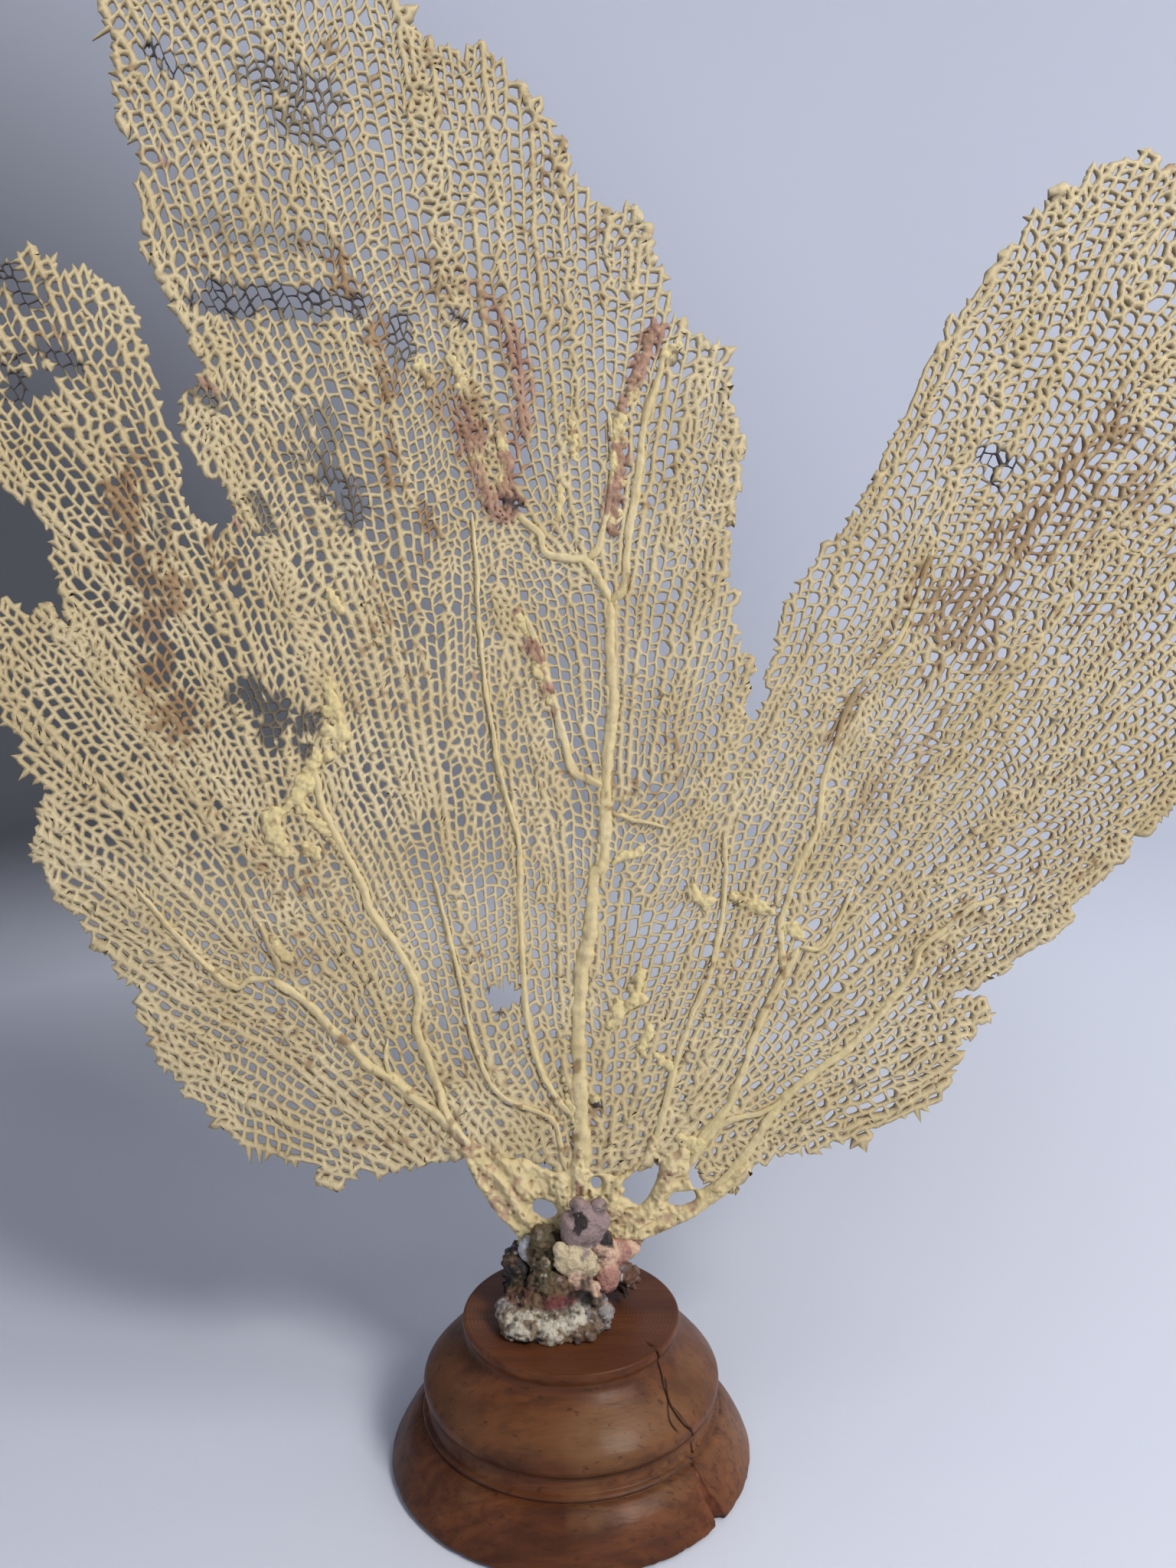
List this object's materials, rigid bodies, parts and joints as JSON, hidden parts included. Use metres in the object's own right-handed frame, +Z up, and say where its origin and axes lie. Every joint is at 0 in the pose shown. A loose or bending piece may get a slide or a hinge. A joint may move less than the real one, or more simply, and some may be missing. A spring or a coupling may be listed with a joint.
{
  "type": "sea fan",
  "caption": "Dried sea fan: a tall, branching sheet of openwork coral on a crusted holdfast, mounted on a turned wooden plinth.",
  "frame": {"origin": "centre of the plinth's underside", "axes": "+Z up, +X to the fan's right as seen from the front, -Y towards the viewer; the fan leans back towards +Y"},
  "size_m": [0.4387, 0.122, 0.5339],
  "materials": {
    "turned_wood": "reddish-brown, waxed, satin, with a split and a chip at the front right",
    "crusted_rock": "rough, crusted, in white, black, brown and dull pink",
    "coral": "cream, chalky and matt, stained brown and dull red in places, worn to its dark skeleton in others"
  },
  "bodies": {
    "root": {"wooden_plinth": "turned_wood", "holdfast": "crusted_rock", "root_web": "coral", "centre_branch": "coral", "left_branch": "coral", "left_finger": "coral", "right_branch": "coral", "lower_right_branch": "coral"}
  },
  "joints": []
}
